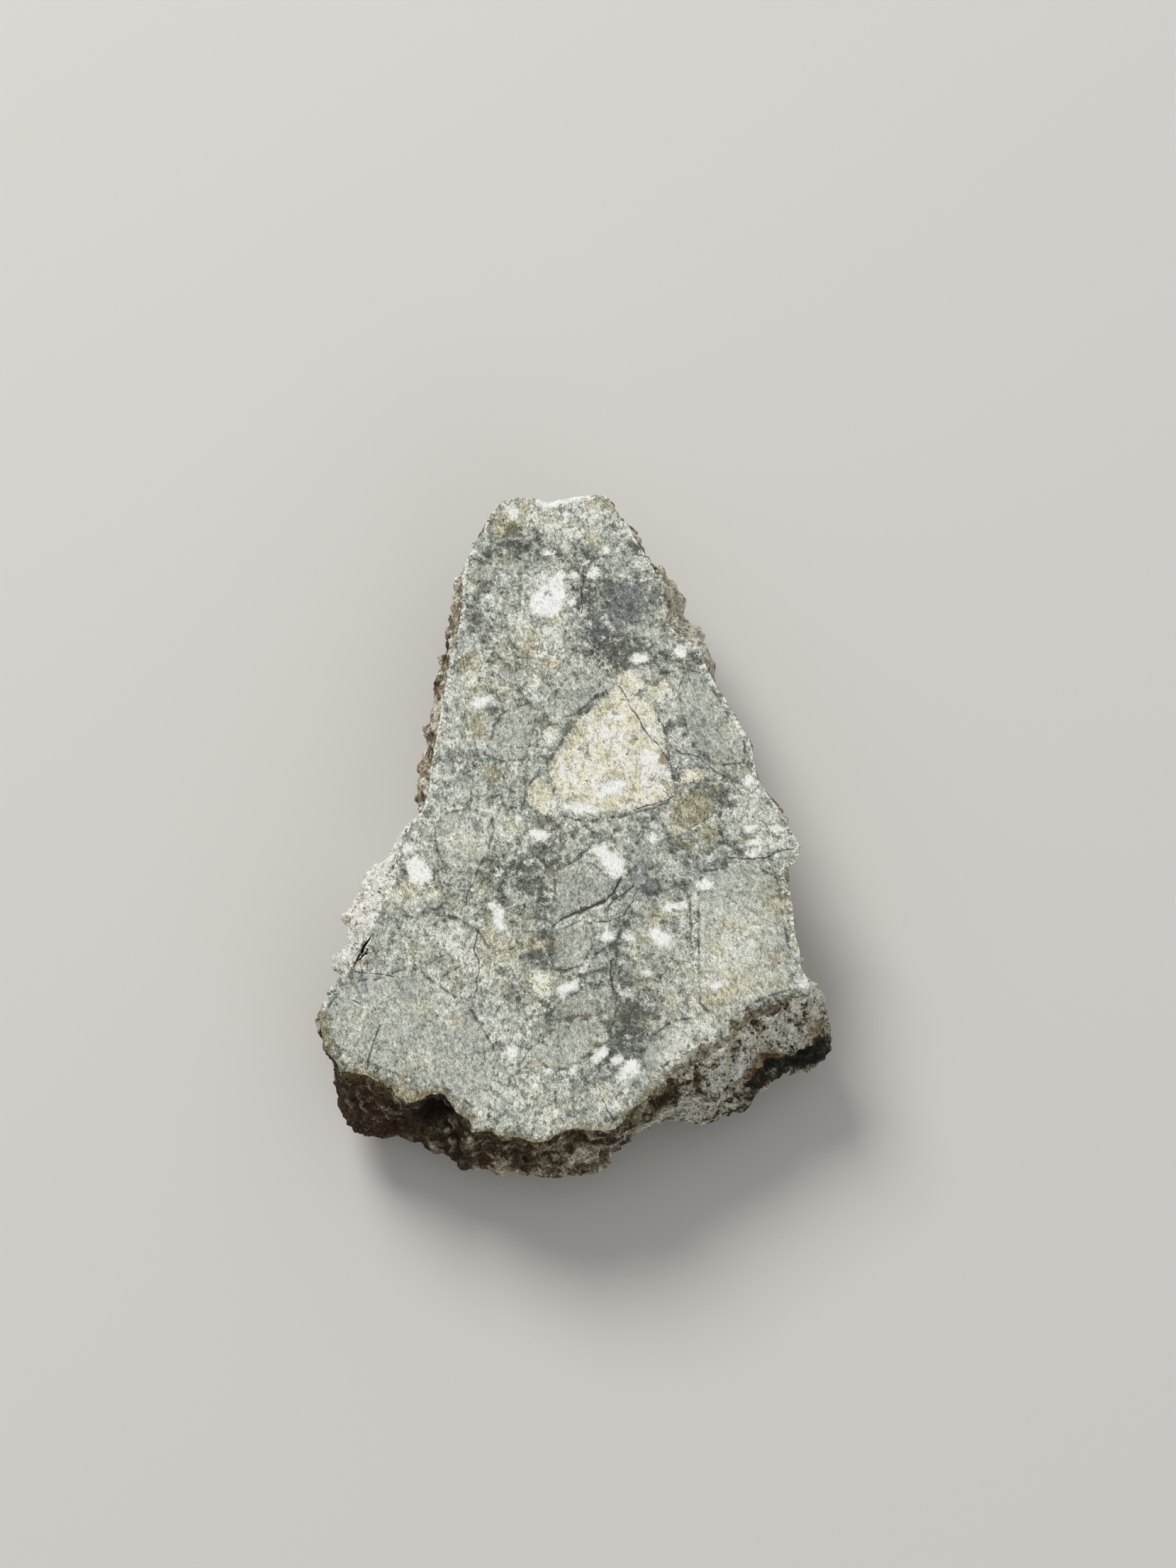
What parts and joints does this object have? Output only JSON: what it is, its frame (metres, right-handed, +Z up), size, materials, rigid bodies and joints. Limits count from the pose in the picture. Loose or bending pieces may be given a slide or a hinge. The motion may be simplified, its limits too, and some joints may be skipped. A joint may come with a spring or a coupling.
{
  "type": "lunar meteorite",
  "caption": "Small broken stone of grey breccia with one sawn face on top, rough dark flanks with a ledge, and a small flat spot below to rest on.",
  "frame": {"origin": "under the middle of the stone's box, at the height of the flat spot it rests on", "axes": "+Z up, out of the sawn face; +Y from the wide end to the narrow end; +X to the right with the sawn face up and the narrow end away"},
  "size_m": [0.0164, 0.0228, 0.0044],
  "materials": {
    "breccia": "matte, sawn above and broken all round"
  },
  "bodies": {
    "root": {"meteorite": "breccia"}
  },
  "joints": []
}
